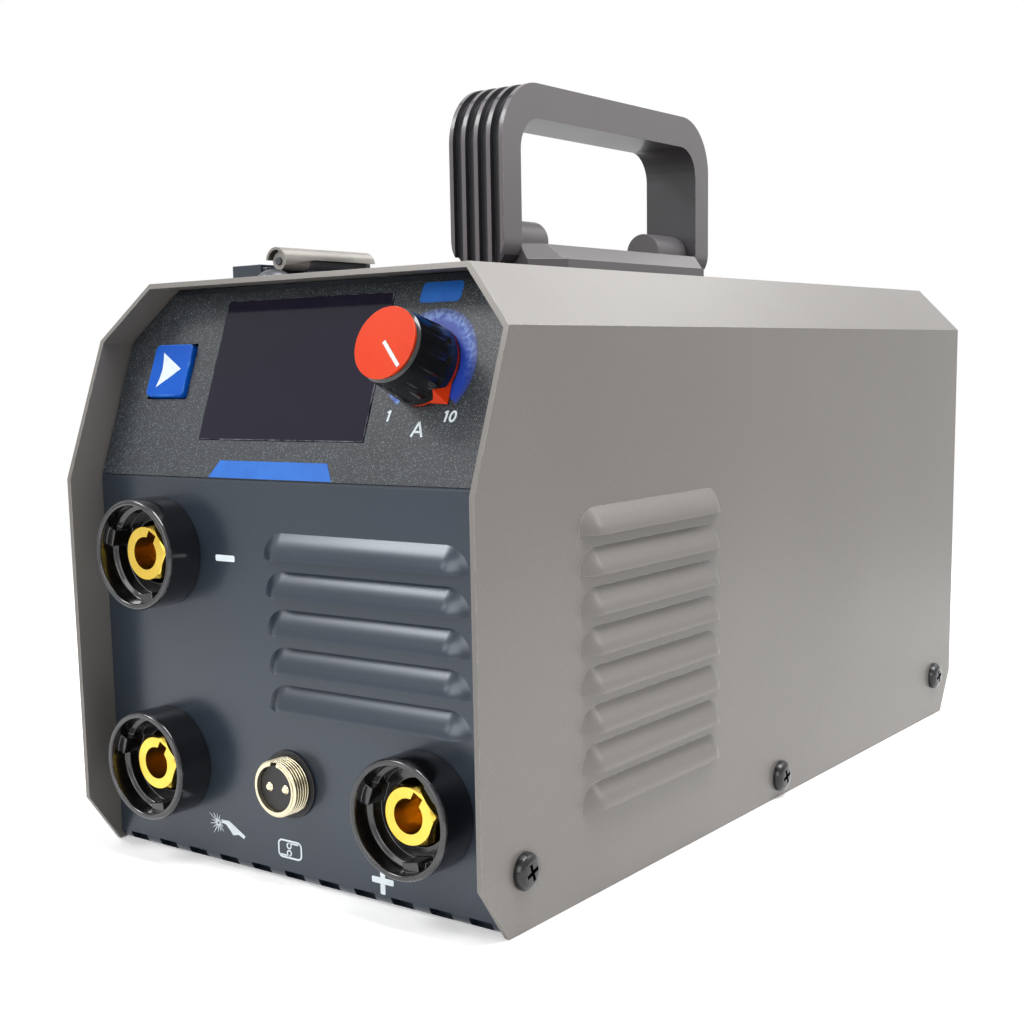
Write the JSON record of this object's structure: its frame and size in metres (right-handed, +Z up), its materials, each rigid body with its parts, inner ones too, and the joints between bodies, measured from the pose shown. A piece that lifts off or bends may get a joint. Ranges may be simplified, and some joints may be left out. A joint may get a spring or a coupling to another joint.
{
  "type": "multi-process welding inverter",
  "caption": "Compact box-shaped welding inverter with a sloped control panel, louvred walls, front cable sockets, a folding top handle and a side door over a small wire drive.",
  "frame": {"origin": "middle of the footprint, on the plane the case stands on", "axes": "+Z up, -Y out of the front with the sockets, +X towards the louvred wall; the door is on the -X side"},
  "size_m": [0.1564, 0.318, 0.229],
  "materials": {
    "cover_paint": "satin warm grey powder coat",
    "chassis_paint": "satin graphite paint",
    "bare_sheet": "zinc-plated sheet",
    "overlay": "charcoal film with a fine sparkle",
    "window": "smoked plum-black film",
    "circuit": "green board",
    "button_blue": "moulded blue",
    "black_plastic": "moulded black",
    "gloss_black": "gloss black",
    "orange": "orange-red",
    "red_plastic": "red",
    "brass": "machined",
    "nickel": "nickel plate, slightly warm",
    "steel": "bright steel",
    "black_steel": "black zinc",
    "handle_plastic": "grey-brown moulded",
    "base_plastic": "grey-brown moulded, darker",
    "hinge_paint": "painted with the cover",
    "alloy": "plain extruded",
    "motor_steel": "grey",
    "sleeve": "dark blue sleeve"
  },
  "bodies": {
    "case": {"cover": "cover_paint", "front_panel": "chassis_paint", "base_tray": "chassis_paint", "rear_panel": "chassis_paint", "divider": "bare_sheet", "panel_overlay": "overlay", "display_window": "window", "display_board": "circuit", "button_switch": "black_plastic", "potentiometer": "motor_steel", "socket_collars": "gloss_black", "socket_contacts": "brass", "socket_nuts": "brass", "control_shell": "nickel", "control_insert": "black_plastic", "control_pins": "nickel", "control_washer": "black_plastic", "cover_screws": "black_steel", "handle_base": "base_plastic", "fold_pins": "steel", "handle_screws": "black_steel", "latch_base": "steel", "latch_pin": "steel", "case_leaves": "hinge_paint", "hinge_pins": "steel", "drive_block": "black_plastic", "gear_motor": "motor_steel", "arm_pin": "steel", "hub_spindle": "alloy", "hub_nut": "black_plastic", "main_board": "circuit", "heat_sinks": "alloy", "transformer": "motor_steel", "capacitors": "sleeve", "fan_frame": "black_plastic", "fan_guard": "steel", "fan_screws": "steel", "switch_body": "black_plastic", "cable_gland": "black_plastic", "earth_bolt": "brass"},
    "button": {"mode_button": "button_blue"},
    "knob": {"knob_body": "gloss_black", "knob_cap": "orange", "knob_skirt": "orange", "pot_shaft": "steel"},
    "handle": {"handle_loop": "handle_plastic"},
    "latch": {"latch_lever": "steel"},
    "door": {"door_panel": "cover_paint", "door_catch": "chassis_paint", "door_leaves": "hinge_paint"},
    "drive": {"drive_roll": "steel", "roll_screw": "steel"},
    "arm": {"pressure_arm": "black_plastic"},
    "press": {"pressure_roll": "steel"},
    "tension": {"tension_knob": "red_plastic"},
    "hub": {"spool_hub": "black_plastic"},
    "fan": {"fan_rotor": "black_plastic"},
    "rocker": {"switch_rocker": "red_plastic"}
  },
  "joints": [
    {"name": "handle_fold", "type": "hinge", "parent": "case", "child": "handle", "pos_m": [0, 0.00875, 0.1814], "axis": [0, 1, 0], "range_deg": [-90, 90]},
    {"name": "current_turn", "type": "hinge", "parent": "case", "child": "knob", "pos_m": [0.0433, -0.13582, 0.1423], "axis": [0, -0.9351, 0.3543], "range_deg": [0, 282]},
    {"name": "mode_press", "type": "slide", "parent": "case", "child": "button", "axis": [0, 0.9351, -0.3543], "range_m": [0, 0.0008], "stiffness_N_per_m": 1500, "springref_m": -0.001},
    {"name": "latch_lift", "type": "hinge", "parent": "case", "child": "latch", "pos_m": [-0.0402, -0.0835, 0.1749], "axis": [0, -1, 0], "range_deg": [0, 40]},
    {"name": "door_open", "type": "hinge", "parent": "case", "child": "door", "pos_m": [-0.0766, 0.002, 0.0136], "axis": [0, -1, 0], "range_deg": [0, 90]},
    {"name": "drive_spin", "type": "hinge", "parent": "case", "child": "drive", "pos_m": [-0.048, -0.066, 0.0177], "axis": [1, 0, 0], "continuous": true},
    {"name": "arm_lift", "type": "hinge", "parent": "case", "child": "arm", "pos_m": [-0.048, -0.088, 0.0428], "axis": [1, 0, 0], "range_deg": [0, 50]},
    {"name": "press_spin", "type": "hinge", "parent": "arm", "child": "press", "pos_m": [-0.048, -0.066, 0.0388], "axis": [1, 0, 0], "continuous": true},
    {"name": "tension_turn", "type": "hinge", "parent": "arm", "child": "tension", "pos_m": [-0.048, -0.045, 0.0528], "axis": [0, 0, 1], "range_deg": [0, 720]},
    {"name": "hub_spin", "type": "hinge", "parent": "case", "child": "hub", "pos_m": [-0.04, 0.066, 0.09], "axis": [1, 0, 0], "continuous": true},
    {"name": "fan_spin", "type": "hinge", "parent": "case", "child": "fan", "pos_m": [0.03, 0.13, 0.106], "axis": [0, 1, 0], "continuous": true},
    {"name": "power_rock", "type": "hinge", "parent": "case", "child": "rocker", "pos_m": [0.008, 0.1463, 0.034], "axis": [0, 0, 1], "range_deg": [0, 22]}
  ],
  "couplings": [
    {"joint": "press_spin", "follows": "drive_spin", "ratio": -1.1579}
  ]
}
